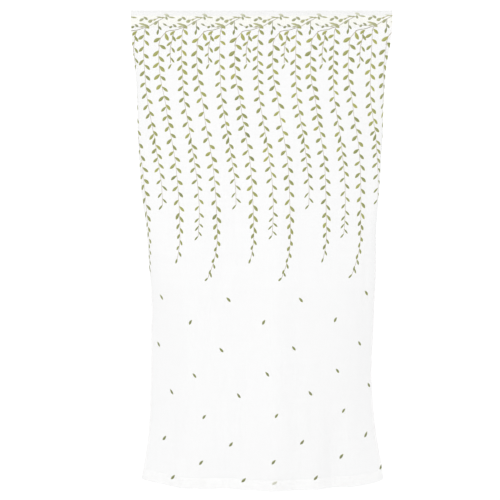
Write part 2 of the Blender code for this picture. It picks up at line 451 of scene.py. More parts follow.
# %% [markdown]
# A whole repeat has two short and two long twigs. The chart gives each one's end, how far its tip
# hooks to the left and from where, and the heights of the middles of its leaves on both sides. The
# last leaf on the left is the twig's own tip, and its angle is given too.

# %% Chart of the twigs
TWIGS = {
    ("short", 0): {
        "end": 797, "hook": 3, "hook_from": 700, "tip_angle": -40,
        "left": (107, 156, 211, 256, 304, 349, 397, 432, 475, 517, 574, 611, 652, 701, 757, 804),
        "right": (90, 132, 186, 232, 275, 324, 372, 421, 466, 502, 559, 596, 635, 677, 727, 779),
    },
    ("short", 1): {
        "end": 924, "hook": 6, "hook_from": 800, "tip_angle": -40,
        "left": (
            107, 155, 196, 234, 275, 319, 366, 413, 467, 513, 575, 612, 654, 702, 759, 811, 860, 892, 931,
        ),
        "right": (
            88, 129, 174, 216, 251, 294, 339, 386, 441, 488, 559, 597, 636, 679, 729, 784, 839, 881, 915,
        ),
    },
    ("long", 0): {
        "end": 1017, "hook": 16, "hook_from": 900, "tip_angle": -20,
        "left": (
            120, 175, 223, 271, 312, 360, 402, 441, 484, 535, 585, 635, 685, 729, 786, 842, 884, 925, 972,
            1026,
        ),
        "right": (
            149, 198, 238, 277, 321, 357, 395, 434, 469, 512, 560, 609, 655, 704, 754, 812, 855, 902, 951,
            998,
        ),
    },
    ("long", 1): {
        "end": 1095, "hook": 42, "hook_from": 912, "tip_angle": -45,
        "left": (
            122, 175, 226, 275, 320, 369, 425, 483, 533, 588, 638, 688, 732, 788, 845, 886, 928, 977,
            1024, 1071, 1102,
        ),
        "right": (
            152, 204, 251, 296, 344, 394, 453, 506, 560, 611, 658, 707, 756, 814, 859, 906, 955, 1004,
            1048, 1082,
        ),
    },
}
print("leaves charted:", sum(len(twig["left"]) + len(twig["right"]) for twig in TWIGS.values()))

# %% [markdown]
# A twig's line is read from its table at any height, and a line of the garland runs through its
# own points. Both use the smooth curve from the start of the lesson. A Bezier curve could be laid
# through the same points, but its handles would be one more thing to keep in step.


# %% Smooth paths
def smooth_path(points, step):
    """Even steps along a smooth curve through points, with the chord length as its parameter."""
    points = np.array(points, dtype=float)
    chord = np.concatenate([[0.0], np.cumsum(np.linalg.norm(np.diff(points, axis=0), axis=1))])
    at = even_steps(0.0, chord[-1], step)
    return np.stack([through_rows(chord, column, at) for column in points.T], axis=1)


def twig_across(kind, number, height):
    """Place across of a hanging twig at a seen height, all in mm: its table's curve, shifted by
    whole half repeats, with its tip hooked to the left by the square of the way into the hook."""
    twig = TWIGS[kind, number % 2]
    share = np.clip((height - twig["hook_from"]) / (twig["end"] - twig["hook_from"]), 0.0, None)
    start = through_rows(TWIG_LINES[kind]["height"], TWIG_LINES[kind]["across"], height)
    return start + number * HALF_REPEAT / MM - twig["hook"] * share**2


print("third long twig at 500 mm:", round(float(twig_across("long", 2, np.array(500.0))), 1), "mm")

# %% [markdown]
# Twigs hang from a garland along the top. One half repeat of the garland is charted, from
# the short twig of that half: lines, and leaves with their centre, size and the angle of their tip
# from straight down, with plus to the right. Tones say how the ink came out: 0 is the reddish brown
# of a stem, 0.15 a grey brown, 0.3 a greyed green, 0.6 the plain olive and 0.8 a yellower one.

# %% Lines of the garland
STEM_TONE = 0.04
GARLAND_LINES = (
    {
        "width": 1.9, "tone": 0.12,
        "points": ((79, 31), (66, 38), (52, 44), (37, 53), (22, 61.5), (11, 67.5), (3, 76), (0, 88)),
    },
    {"width": 1.9, "tone": 0.12, "points": ((22, 42), (38, 38), (52, 34), (66, 29), (78, 28))},
    {
        "width": 2.3, "tone": 0.12,
        "points": ((6, 68), (-6, 71), (-19, 76), (-34, 79.5), (-50, 81), (-63, 84.5), (-69, 87)),
    },
    {
        "width": 1.8, "tone": STEM_TONE,
        "points": ((-63, 85), (-72, 93), (-81, 104), (-88, 112), (-91, 122), (-94, 134), (-96, 146)),
    },
    {
        "width": 1.8, "tone": STEM_TONE,
        "points": ((-34, 83), (-37, 102), (-43, 128), (-48, 151), (-49, 215)),
    },
    {"width": 2.2, "tone": 0.15, "points": ((58, 42), (57, 60), (58, 82))},
    {"width": 1.3, "tone": 0.12, "points": ((-5, 69), (-23, 66), (-46, 65), (-63, 61), (-77, 55))},
)

# %% [markdown]
# The garland's leaves are written one row each: across, height, length, width, angle and tone.

# %% Leaves of the garland
GARLAND_LEAVES = (
    (-7.5, 55.8, 26, 7, 74, 0.72),
    (8.2, 63.5, 25, 11, 54, 0.62),
    (-6, 64.5, 18, 4, -84, 0.70),
    (-63, 106.5, 29, 12, 22, 0.74),
    (-39, 91.5, 23, 9.5, -50, 0.70),
    (-34, 113, 25, 9, 32, 0.50),
    (-53, 135, 24, 8, -47, 0.65),
    (-38, 161, 23, 8, 31, 0.55),
    (-55, 181, 19, 7, -50, 0.60),
    (-41, 202, 23, 7, 35, 0.50),
    (-52, 229, 22, 7, -30, 0.60),
    (48, 50.3, 18, 10, -50, 0.50),
    (62.5, 69.8, 19, 7.4, 38, 0.30),
    (55.5, 87, 20, 7.8, -13, 0.32),
    (-71, 57, 16, 6, 62, 0.30),
    (-31.5, 61, 16, 8, 54, 0.30),
    (-47, 65.5, 12, 8, -55, 0.34),
    (-9.5, 38, 18.5, 9, -62, 0.40),
    (6, 32.5, 18, 8.5, 56, 0.44),
    (25.5, 42.5, 18, 10.5, -66, 0.62),
    (44, 38, 12, 5.5, -63, 0.70),
    (61, 28, 20, 5, 82, 0.60),
    (76, 30, 17, 4, 89, 0.60),
    (-44, 28.5, 26, 5, 82, 0.60),
    (-63.5, 31.5, 13, 8, 25, 0.36),
    (-63, 20.5, 19, 9, 70, 0.34),
)
print("leaves in one half of the garland:", len(GARLAND_LEAVES))

# %% [markdown]
# Leaves stand on both sides of a hanging twig, nearly in turn, and point down and out. Their
# lengths, widths, angles and ink follow the height by a few rows each: on the long twigs they start
# large and get smaller and steeper towards the tip. A little chance keeps them from looking
# stamped, and its seed is fixed, so the print is the same each time. The last few leaves of each
# twig get thinner and greyer. One leaf halfway down each short twig hangs almost straight, over
# the stem.

# %% Leaves of the hanging twigs
LEAF_RULES = {
    "short": {
        "length": ((90, 700, 930), (25, 24.5, 20)),
        "width": ((90, 450, 930), (10.2, 9.6, 7.8)),
        "angle": ((90, 107, 130, 930), (43, 56, 43, 41)),
    },
    "long": {
        "length": ((110, 190, 260, 400, 850, 950, 1110), (29, 28, 26.5, 25.2, 25, 19, 17)),
        "width": ((110, 190, 260, 500, 850, 1110), (12.5, 12, 10.8, 10.2, 9.6, 8.6)),
        "angle": ((110, 190, 700, 820, 950, 1110), (55, 46, 45, 37, 21, 16)),
    },
}
TONE_BY_HEIGHT = ((90, 120, 150, 600, 1110), (0.62, 0.72, 0.62, 0.58, 0.48))
STRAIGHT_LEAF = {"beside": -5, "height": 535, "length": 27, "width": 9.5, "angle": -20, "tone": 0.38}
TIP_LENGTH = 150.0
TIP_THINNER = 0.3
TIP_TONE = 0.33
STEM_GAP = 2.0
FIRST_GAP = 5.0
LENGTH_CHANCE = 0.05
WIDTH_CHANCE = 0.06
ANGLE_CHANCE = 4.0
TONE_CHANCE = 0.10
TONE_LIMITS = (0.3, 0.8)
CHANCE = np.random.default_rng(41)


def side_leaves(kind, number, side):
    """Leaves on one side of a twig, as rows of across, height, length, width, angle and tone. Each
    inner end stands a little off the stem, most on a short twig's first right leaf, and the centre
    half a length further along the leaf. The tip's inner end is the end of the stem."""
    twig = TWIGS[kind, number % 2]
    rule = LEAF_RULES[kind]
    sign = -1.0 if side == "left" else 1.0
    height = np.array(twig[side], dtype=float)
    count = len(height)
    length = np.interp(height, *rule["length"]) * CHANCE.normal(1.0, LENGTH_CHANCE, count)
    width = np.interp(height, *rule["width"]) * CHANCE.normal(1.0, WIDTH_CHANCE, count)
    angle = sign * (np.interp(height, *rule["angle"]) + CHANCE.normal(0.0, ANGLE_CHANCE, count))
    tone = np.interp(height, *TONE_BY_HEIGHT) + CHANCE.normal(0.0, TONE_CHANCE, count)
    tone = np.clip(tone, *TONE_LIMITS)
    near_tip = smooth_step(twig["end"] - TIP_LENGTH, twig["end"], height)
    width = width * (1.0 - TIP_THINNER * near_tip)
    tone = tone + (TIP_TONE - tone) * near_tip
    gap = np.full(count, STEM_GAP)
    gap[0] = FIRST_GAP if (kind, side) == ("short", "right") else STEM_GAP
    if side == "left":
        angle[-1] = twig["tip_angle"]
        gap[-1] = 0.0
        height[-1] = twig["end"] + math.cos(math.radians(angle[-1])) * length[-1] / 2
    turn = np.radians(angle)
    inner = height - np.cos(turn) * length / 2
    across = twig_across(kind, number, inner) + sign * gap + np.sin(turn) * length / 2
    return np.stack([across, height, length, width, angle, tone], axis=1)


def straight_leaf(number):
    """The leaf that hangs over the stem of a short twig."""
    across, *rest = STRAIGHT_LEAF.values()
    return np.array([[twig_across("short", number, float(rest[0])) + across, *rest]])


HALVES = np.arange(-1, 8)
twig_leaves = []
for number in HALVES:
    for kind in ("short", "long"):
        twig_leaves.append(side_leaves(kind, number, "left"))
        twig_leaves.append(side_leaves(kind, number, "right"))
    twig_leaves.append(straight_leaf(number))
twig_leaves = np.concatenate(twig_leaves)
garland = np.array(GARLAND_LEAVES, dtype=float)
short_top = TWIG_LINES["short"]["across"][0]
starts = short_top + HALVES * HALF_REPEAT / MM
garland_leaves = np.tile(garland, (len(starts), 1))
garland_leaves[:, 0] += np.repeat(starts, len(garland))
print("leaves on twigs", len(twig_leaves), "in the garland", len(garland_leaves))

# %% [markdown]
# Below the twigs single leaves drift down to the hem, ten in a whole repeat. Their drops are
# lengths of cloth from the fold, and their ink is darker and greyer. The tenth lies on the part
# that is turned up behind. In one place such a leaf shows through the hem from the front, and it
# is given on its own: tone 1 is its pale grey. Towards the sides the leaves came out larger.

# %% Drifting leaves
DRIFTING = {
    "across": (-452, -300, -482, -287, -408, -247, -444, -259, -386, -247),
    "drop": (1194, 1285, 1395, 1498, 1580, 1666, 1778, 1854, 1926, 1994),
    "length": (21, 19.5, 20, 20, 20.5, 18.5, 21, 21, 22, 21),
    "width": (8.5, 8.5, 8.2, 8, 8.6, 7.8, 8.6, 8.4, 8.8, 8.5),
    "angle": (42, -30, 42, 40, 40, -38, -40, -40, -44, -60),
    "tone": (0.34, 0.28, 0.29, 0.27, 0.25, 0.28, 0.24, 0.25, 0.24, 0.25),
}
SHOWS_THROUGH = (54, 1940, 20, 9, -60, 1.0)
WHOLE_REPEATS = np.arange(-1, 4)
WIDER_FROM, WIDER_AT = 300, 500
WIDER = 0.12
drifting = np.stack([np.array(DRIFTING[name], dtype=float) for name in DRIFTING], axis=1)
repeats = WHOLE_REPEATS * 2 * HALF_REPEAT / MM
drifting_leaves = np.tile(drifting, (len(repeats), 1))
drifting_leaves[:, 0] += np.repeat(repeats, len(drifting))
larger = 1.0 + WIDER * smooth_step(WIDER_FROM, WIDER_AT, np.abs(drifting_leaves[:, :1]))
drifting_leaves[:, 2:4] *= larger
drifting_leaves = np.concatenate([drifting_leaves, [SHOWS_THROUGH]])
print("drifting leaves", len(drifting_leaves))

# %% [markdown]
# The cloth ran a little askew through the printer. On its right the rows of the print climb towards
# the edge: a slope that starts right of the middle and comes in over the upper third of the cloth.
# Close to the left edge they climb too. Under the twigs the whole row climbs from left to right
# instead, in a soft wave. Along the seam the cloth is drawn tight, so the print there is spread by
# a hundredth, and near the foot it is narrower by about as much. On the turned sides the leaves
# are stretched a little, because the charts were made for cloth seen from the front.

# %% Askew print
LIFT_STARTS = 200
LIFT_SLOPE = 0.07
LIFT_AT_TOP = 0.35
LIFT_ROWS = (230, 600)
LEFT_LIFT = 9
SHIFT_DOWN = 2
LEFT_PLACES = (430, 510)
CLIMB = {
    "across": (-500, -430, -300, -150, 30, 150, 220, 320, 500),
    "lift": (-3, -2, -8, -7, 5, 7.5, 5.5, 9.5, 9.5),
}
CLIMB_ROWS = (1200, 1500)
SPREAD = 0.010
SPREAD_ROWS = (150, 290)
FOOT_SPREAD = -0.012
FOOT_ROWS = (1450, 1650)
LEAST_COS = 0.78


def print_lift(across, height):
    """Lift in mm. Above it is a slope times the distance right of where it starts, times its share
    at a height, and a soft step near the left edge, less a small shift down. Below it follows a
    table."""
    comes_in = smooth_step(*LIFT_ROWS, height)
    share = LIFT_AT_TOP + (1 - LIFT_AT_TOP) * comes_in
    above = LIFT_SLOPE * np.maximum(across - LIFT_STARTS, 0.0) * share
    above = above + LEFT_LIFT * smooth_step(*LEFT_PLACES, -across) * comes_in - SHIFT_DOWN
    below = np.interp(across, *CLIMB.values())
    return above + (below - above) * smooth_step(*CLIMB_ROWS, height)


def print_spread(across, height):
    """Place across after the spread, which ends over a few rows below the seam and turns to a
    narrowing near the foot."""
    at_seam = SPREAD * (1.0 - smooth_step(*SPREAD_ROWS, height))
    return across * (1.0 + at_seam + FOOT_SPREAD * smooth_step(*FOOT_ROWS, height))


def stretched(marks):
    """Leaves where the cloth turns from the front by an angle t: what reaches across in a leaf is
    divided by cos t, so its length and angle change, its width grows, and its inner end stays."""
    marks = marks.copy()
    below_seam = np.clip(marks[:, 1] * MM - SEAM_DROP, 0.0, SHEET_LENGTH)
    stretch = 1.0 / np.maximum(np.cos(plan_angle(marks[:, 0] * MM, below_seam)), LEAST_COS)
    turn = np.radians(marks[:, 4])
    beside, down = np.sin(turn) * marks[:, 2], np.cos(turn) * marks[:, 2]
    marks[:, 0] += beside * (stretch - 1.0) / 2
    marks[:, 2] = np.hypot(beside * stretch, down)
    marks[:, 3] *= stretch ** np.abs(np.cos(turn))
    marks[:, 4] = np.degrees(np.arctan2(beside * stretch, down))
    return marks


print("lift of the print at its upper right:", round(float(print_lift(500.0, 300.0)), 1), "mm")

# %% [markdown]
# Now every leaf gets its place on the flat cloth. The charts give the size of a leaf's dark heart,
# and the whole leaf with its rim is larger by one factor. The garland's leaves are printed on the
# back of the pocket too, a quarter of a repeat further along and upside down.

# %% All leaves
WHOLE_LEAF = 1.25
BEHIND_SHIFT = 77
FREE_OF_FOLD = 14
hung_leaves = np.concatenate([twig_leaves, garland_leaves])
hung_leaves[:, 0] = print_spread(*hung_leaves[:, :2].T)
hung_leaves[:, 1] = cloth_drop((hung_leaves[:, 1] - print_lift(*hung_leaves[:, :2].T)) * MM) / MM
hung_leaves = stretched(hung_leaves)
drifting_leaves[:, 0] = print_spread(*drifting_leaves[:, :2].T)
drifting_leaves[:, 1] -= print_lift(*drifting_leaves[:, :2].T)
above_seam = (garland_leaves[:, 1] > FREE_OF_FOLD) & (garland_leaves[:, 1] < SEAM_HEIGHT / MM)
behind_leaves = garland_leaves[above_seam]
behind_leaves[:, 0] += BEHIND_SHIFT
behind_leaves[:, 1] = -cloth_drop(behind_leaves[:, 1] * MM) / MM
behind_leaves[:, 4] = 180 - behind_leaves[:, 4]
leaves = np.concatenate([hung_leaves, drifting_leaves, behind_leaves])
leaves[:, 2:4] *= WHOLE_LEAF
leaves[:, :4] *= MM
print("leaves in all", len(leaves))

# %% [markdown]
# A stem is printed as a thin line of even width down the middle of its twig, from the garland to
# the twig's end. The garland's own lines follow their charts in each half repeat.

# %% Stems
PATH_STEP = 5 * MM
STEM_STEP = 20.0
STEM_WIDTH = 1.3
STEM_STARTS = {"short": 84.0, "long": 140.0}
stems = []
for number in HALVES:
    for kind, start in STEM_STARTS.items():
        height = even_steps(start, TWIGS[kind, number % 2]["end"], STEM_STEP)
        places = np.stack([twig_across(kind, number, height), height], axis=1)
        stems.append((places, STEM_WIDTH, STEM_TONE))
    for line in GARLAND_LINES:
        places = np.array(line["points"], dtype=float)
        places[:, 0] += short_top + number * HALF_REPEAT / MM
        stems.append((places, line["width"], line["tone"]))
print("stems and lines", len(stems))

# %% [markdown]
# A leaf could be a picture, a cut mesh laid on the cloth, or a mark that the material draws. The
# last keeps the print in the cloth, as sharp as wanted and without a layer that could lift. Each
# face corner is told where it lies in the leaf's own measures: along it, from -1 at the stem end to
# 1 at the tip, and across it, from -1 to 1 at its widest. Those numbers change evenly over a face,
# so the material can draw the exact outline between the corners. A third number is the leaf's tone.
# A face may be crossed by more than one leaf, so there are four such layers, and two for stems.

# %% Leaf layers
LEAF_LAYERS = 4
STEM_LAYERS = 2
FAR_AWAY = (9.0, 9.0, 0.0)
WIDEST = 1.07
HALF_FACE = math.hypot(COLUMN_STEP, ROW_STEP) / 2


def face_places(across, drop):
    """Flat places across and down at the face corners of a grid."""
    return [corner_values(places) for places in np.broadcast_arrays(across[None, :], drop[:, None])]


def empty_layers(count, shape):
    """Layers of corner values in which nothing is printed, and a tally of what each face holds."""
    layers = np.broadcast_to(np.array(FAR_AWAY, dtype=np.float32), (count, *shape, 4, 3)).copy()
    return layers, np.zeros(shape, dtype=int)


def fill_layer(layers, used, rows, columns, values):
    """Puts a mark's corner values into the first free layer of each of its faces."""
    free = used[rows, columns] < len(layers)
    rows, columns, values = rows[free], columns[free], values[free]
    layers[used[rows, columns], rows, columns] = values
    used[rows, columns] += 1
    return int((~free).sum())


def print_leaves(across, drop, marks):
    """Leaf layers for a grid. Along is the distance from the leaf's centre on its own axis over
    half its length, and across the distance from that axis over half its width. A face takes the
    leaf when its middle is inside the outline widened by half a face."""
    corner_a, corner_b = face_places(across, drop)
    layers, used = empty_layers(LEAF_LAYERS, corner_a.shape[:2])
    left_out = 0
    for centre_a, centre_b, length, width, angle, tone in marks:
        turn = math.radians(angle)
        span = length / 2 + HALF_FACE
        left, right = np.searchsorted(across, (centre_a - span, centre_a + span))
        top, foot = np.searchsorted(drop, (centre_b - span, centre_b + span))
        left, top = max(left - 1, 0), max(top - 1, 0)
        window = np.s_[top:foot, left:right]
        off_a, off_b = corner_a[window] - centre_a, corner_b[window] - centre_b
        along = off_a * math.sin(turn) + off_b * math.cos(turn)
        beside = off_a * math.cos(turn) - off_b * math.sin(turn)
        middle = np.abs(along.mean(axis=2)), np.abs(beside.mean(axis=2))
        round_end = np.sqrt(np.clip(1.0 - (middle[0] / span) ** 2, 0.0, 1.0))
        room = WIDEST * width / 2 * round_end + HALF_FACE
        rows, columns = np.nonzero((middle[0] < span) & (middle[1] < room))
        values = np.stack([along / (length / 2), beside / (width / 2), 0 * along + tone], axis=-1)
        left_out += fill_layer(layers, used, rows + top, columns + left, values[rows, columns])
    print("leaf faces without a free layer:", left_out)
    return layers


# %% [markdown]
# A stem is told to the material in the same way: how far a corner lies beside its line, counted in
# half widths of the stem, and how far past its end.

# %% Stem layers
END_LIMIT = 5.0


def stem_values(path, half_width, a, b):
    """For places (a, b): the signed distance from a path over half its width, how far past its
    nearer end they lie over the same, and the plain distance. The first and last stretch of the
    path run on, so that the distance stays even past an end."""
    start, step = path[:-1], np.diff(path, axis=0)
    long = np.linalg.norm(step, axis=1)
    step = step / long[:, None]
    off_a, off_b = a[..., None] - start[:, 0], b[..., None] - start[:, 1]
    low = np.zeros(len(long))
    high = long.copy()
    low[0], high[-1] = -np.inf, np.inf
    along = np.clip(off_a * step[:, 0] + off_b * step[:, 1], low, high)
    gap_a, gap_b = off_a - along * step[:, 0], off_b - along * step[:, 1]
    gap = np.hypot(gap_a, gap_b)
    nearest = np.argmin(gap, axis=-1)[..., None]
    side = np.sign(step[:, 0] * off_b - step[:, 1] * off_a)
    before = np.concatenate([[0.0], np.cumsum(long)[:-1]])
    place = np.take_along_axis(along + before, nearest, -1)[..., 0]
    distance = np.take_along_axis(gap, nearest, -1)[..., 0]
    signed = distance * np.take_along_axis(side, nearest, -1)[..., 0]
    beyond = np.maximum(-place, place - long.sum())
    return signed / half_width, np.clip(beyond / half_width, -END_LIMIT, None), distance


def print_stems(across, drop, paths):
    """Stem layers for a grid: a face takes a stem when its middle is within half a face of it."""
    corner_a, corner_b = face_places(across, drop)
    layers, used = empty_layers(STEM_LAYERS, corner_a.shape[:2])
    middle_a, middle_b = corner_a.mean(axis=2), corner_b.mean(axis=2)
    left_out = 0
    for path, width, tone in paths:
        reach = HALF_FACE + width
        (low_a, low_b), (high_a, high_b) = path.min(axis=0) - reach, path.max(axis=0) + reach
        inside = (middle_a > low_a) & (middle_a < high_a) & (middle_b > low_b) & (middle_b < high_b)
        rows, columns = np.nonzero(inside)
        if not len(rows):
            continue
        middles = middle_a[rows, columns], middle_b[rows, columns]
        _, beyond, distance = stem_values(path, width / 2, *middles)
        near = (distance < reach) & (beyond * width / 2 < reach)
        rows, columns = rows[near], columns[near]
        corners = corner_a[rows, columns], corner_b[rows, columns]
        signed, beyond, _ = stem_values(path, width / 2, *corners)
        values = np.stack([signed, beyond, 0 * signed + tone], axis=-1)
        left_out += fill_layer(layers, used, rows, columns, values)
    print("stem faces without a free layer:", left_out)
    return layers


# %% [markdown]
# The layers are kept in the mesh as attributes of its face corners, one for each leaf or stem that
# a face may carry. The material reads them by name.

# %% Print on both pieces
stem_paths = []
for places, width, tone in stems:
    height = places[:, 1] - print_lift(*places.T)
    flat = np.stack([print_spread(*places.T) * MM, cloth_drop(height * MM)], axis=1)
    stem_paths.append((smooth_path(flat, PATH_STEP), width * MM, tone))


def print_cloth(piece, across, drop):
    """Writes the leaf and stem layers of a grid into attributes at its mesh's face corners."""
    layers = [*print_leaves(across, drop, leaves), *print_stems(across, drop, stem_paths)]
    names = [f"leaf_{number}" for number in range(LEAF_LAYERS)]
    names += [f"stem_{number}" for number in range(STEM_LAYERS)]
    for name, layer in zip(names, layers):
        attribute = piece.data.attributes.new(name, "FLOAT_VECTOR", "CORNER")
        attribute.data.foreach_set("vector", layer.reshape(-1))
    print(piece.name, "carries", names)


print_cloth(hanging_cloth, cut_across, SHEET_DROP)
print_cloth(pocket_cloth, cut_across, pocket_drop)

# %% [markdown]
# Materials are node trees. A few helpers keep the lesson readable. The first ones link a value or
# set it, and make single steps of arithmetic with numbers and vectors.


# %% Node helpers for numbers
def feed(tree, socket, value):
    """Links an output to an input, or sets the input to a plain value."""
    if isinstance(value, bpy.types.NodeSocket):
        tree.links.new(value, socket)
    else:
        socket.default_value = value


def sum_up(tree, operation, *values):
    """One step of arithmetic on numbers."""
    node = tree.nodes.new("ShaderNodeMath")
    node.operation = operation
    for socket, value in zip(node.inputs, values):
        feed(tree, socket, value)
    return node.outputs[0]


def times(tree, first, second):
    """The product of two numbers."""
    return sum_up(tree, "MULTIPLY", first, second)


def size_of(tree, value):
    """A number without its sign."""
    return sum_up(tree, "ABSOLUTE", value)


def scaled(tree, vector, factors):
    """A vector times three factors."""
    node = tree.nodes.new("ShaderNodeVectorMath")
    node.operation = "MULTIPLY"
    feed(tree, node.inputs[0], vector)
    feed(tree, node.inputs[1], factors)
    return node.outputs[0]


def parts_of(tree, vector):
    """The three parts of a vector."""
    node = tree.nodes.new("ShaderNodeSeparateXYZ")
    feed(tree, node.inputs[0], vector)
    return node.outputs


print("helpers for numbers ready")

# %% [markdown]
# The next ones map a number softly onto another range, mix two colours or two numbers, and give a
# soft noise. A Color Ramp could map numbers too, but Map Range says its limits in plain values.


# %% Node helpers for blends
def ramp_between(tree, value, low, high, at_low=0.0, at_high=1.0, soft=True):
    """Maps low to high onto at_low to at_high, softly or evenly, and stays level outside."""
    node = tree.nodes.new("ShaderNodeMapRange")
    node.interpolation_type = "SMOOTHSTEP" if soft else "LINEAR"
    for socket, number in zip(node.inputs, (value, low, high, at_low, at_high)):
        feed(tree, socket, number)
    return node.outputs[0]


def blend_colours(tree, share, first, second):
    """Mixes two colours by a share."""
    node = tree.nodes.new("ShaderNodeMix")
    node.data_type = "RGBA"
    for label, value in (("Factor", share), ("A", first), ("B", second)):
        feed(tree, node.inputs[label], value)
    return node.outputs["Result"]


def blend_numbers(tree, share, first, second):
    """Mixes two numbers by a share."""
    node = tree.nodes.new("ShaderNodeMix")
    for place, value in ((0, share), (2, first), (3, second)):
        feed(tree, node.inputs[place], value)
    return node.outputs[0]


def noise(tree, place, scale, detail):
    """Soft noise between 0 and 1 on a place."""
    node = tree.nodes.new("ShaderNodeTexNoise")
    feed(tree, node.inputs["Vector"], place)
    node.inputs["Scale"].default_value = scale
    node.inputs["Detail"].default_value = detail
    return node.outputs[0]


print("helpers for blends ready")

# %% [markdown]
# The last ones make a node group with named inputs and outputs, place it in a tree, start a
# material with the plain values of its shader, and turn a height into fine relief. A group puts out
# numbers and colours only, and each material keeps its own shader.


# %% Helpers for groups and materials
def new_group(name, inputs, outputs):
    """A node group with its sockets, and its input and output nodes."""
    group = bpy.data.node_groups.new(name, "ShaderNodeTree")
    for direction, sockets in (("INPUT", inputs), ("OUTPUT", outputs)):
        for label, kind in sockets.items():
            group.interface.new_socket(label, in_out=direction, socket_type="NodeSocket" + kind)
    given = group.nodes.new("NodeGroupInput").outputs
    return group, given, group.nodes.new("NodeGroupOutput").inputs


def place_group(tree, group, values):
    """Places a group, feeds its named inputs, and returns its outputs."""
    node = tree.nodes.new("ShaderNodeGroup")
    node.node_tree = group
    for label, value in values.items():
        feed(tree, node.inputs[label], value)
    return node.outputs


def new_finish(name, settings):
    """A material whose shader has these plain values, with its tree and its shader."""
    material = bpy.data.materials.new(name)
    material.use_nodes = True
    shader = material.node_tree.nodes["Principled BSDF"]
    for label, value in settings.items():
        shader.inputs[label].default_value = value
    return material, material.node_tree, shader


def emboss(tree, shader, height, strength, depth):
    """Fine relief: a height goes through a Bump node to the shader's normal."""
    bump = tree.nodes.new("ShaderNodeBump")
    bump.inputs["Strength"].default_value = strength
    bump.inputs["Distance"].default_value = depth
    feed(tree, bump.inputs["Height"], height)
    feed(tree, shader.inputs["Normal"], bump.outputs[0])


print("helpers for groups and materials ready")

# %% [markdown]
# Voile is a plain weave of fine hard threads, about twenty to the centimetre, with small open
# squares between them. That openness makes it sheer. Each thread is a rounded ridge that goes over
# one thread and under the next. Here and there a thread is thicker, which shows as a faint streak
# across or down the cloth. The group works on the flat place in metres.

# %% Weave group
OPEN_SQUARE = (0.10, 0.45)
STREAKS_DOWN = (420.0, 5.0, 1.0)
STREAKS_ACROSS = (4.0, 380.0, 1.0)
STREAK_NOISE = (1.0, 2.0)
weave, given, put = new_group(
    "voile weave",
    {"Place": "Vector", "Thread Pitch": "Float"},
    {"Height": "Float", "Cover": "Float", "Streak": "Float"},
)
place_x, place_y, _ = parts_of(weave, given["Place"])
ridges = []
crossing = []
for place in (place_x, place_y):
    threads = sum_up(weave, "DIVIDE", place, given["Thread Pitch"])
    wave = sum_up(weave, "SINE", times(weave, threads, math.pi))
    crossing.append(wave)
    ridges.append(times(weave, wave, wave))
over = sum_up(weave, "MULTIPLY_ADD", times(weave, *crossing), 0.5, 0.5)
under = sum_up(weave, "SUBTRACT", 1.0, over)
warp = times(weave, ridges[0], over)
weft = times(weave, ridges[1], under)
feed(weave, put["Height"], sum_up(weave, "MAXIMUM", warp, weft))
thickest = sum_up(weave, "MAXIMUM", *ridges)
feed(weave, put["Cover"], ramp_between(weave, thickest, *OPEN_SQUARE))
down = noise(weave, scaled(weave, given["Place"], STREAKS_DOWN), *STREAK_NOISE)
sideways = noise(weave, scaled(weave, given["Place"], STREAKS_ACROSS), *STREAK_NOISE)
feed(weave, put["Streak"], times(weave, sum_up(weave, "ADD", down, sideways), 0.5))
print("weave group with", len(weave.nodes), "nodes")

# %% [markdown]
# A printed leaf has a pointed stem end, is widest a little past its middle and ends rounder. In its
# own measures its half width is (1 - x squared) to the power 0.8, times (1 + x / 4). Each leaf bows
# a little to one side, by a chance that its tone gives, has a paler line along its middle, and is
# a little paler on one half.

# %% Leaf group
LEAF_EDGE = 0.11
LEAF_POWER = 0.8
LEAF_LEAN = 0.25
BOW = 0.55
BOW_SHUFFLE = 71.3
RIB = (0.03, 0.16, 0.82, 1.0)
PALER_HALF = (-0.25, 0.25, 0.92, 1.0)
MARK_SOCKETS = {"Place": "Vector"}, {"Mask": "Float", "Tone": "Float"}
leaf_group, given, put = new_group("printed leaf", *MARK_SOCKETS)
x, y, tone = parts_of(leaf_group, given["Place"])
inside = sum_up(leaf_group, "SUBTRACT", 1.0, times(leaf_group, x, x))
full = sum_up(leaf_group, "POWER", sum_up(leaf_group, "MAXIMUM", inside, 0.0), LEAF_POWER)
width = times(leaf_group, full, sum_up(leaf_group, "MULTIPLY_ADD", x, LEAF_LEAN, 1.0))
chance = sum_up(leaf_group, "FRACT", times(leaf_group, tone, BOW_SHUFFLE))
bow = times(leaf_group, sum_up(leaf_group, "SUBTRACT", chance, 0.5), BOW)
bowed = sum_up(leaf_group, "MULTIPLY_ADD", inside, bow, y)
from_rib = size_of(leaf_group, bowed)
room = sum_up(leaf_group, "SUBTRACT", width, from_rib)
mask = ramp_between(leaf_group, room, 0.0, 2 * LEAF_EDGE)
rib = ramp_between(leaf_group, from_rib, *RIB)
half = ramp_between(leaf_group, bowed, *PALER_HALF)
feed(leaf_group, put["Mask"], times(leaf_group, mask, times(leaf_group, rib, half)))
feed(leaf_group, put["Tone"], tone)
print("leaf group with", len(leaf_group.nodes), "nodes")

# %% [markdown]
# The stem is a line of even width with a soft edge, and it fades out just past its end.

# %% Stem group
STEM_EDGE = (0.75, 1.25, 1.0, 0.0)
STEM_END = (-0.5, 0.5, 1.0, 0.0)
stem_group, given, put = new_group("printed stem", *MARK_SOCKETS)
x, y, tone = parts_of(stem_group, given["Place"])
line = ramp_between(stem_group, size_of(stem_group, x), *STEM_EDGE)
short_of_end = ramp_between(stem_group, y, *STEM_END)
feed(stem_group, put["Mask"], times(stem_group, line, short_of_end))
feed(stem_group, put["Tone"], tone)
print("stem group with", len(stem_group.nodes), "nodes")

# %% [markdown]
# The whole print is one more group. It lays the stems and leaves over each other, and lets the ink
# take unevenly, as dye does in open threads: a little cloudy over a few millimetres.

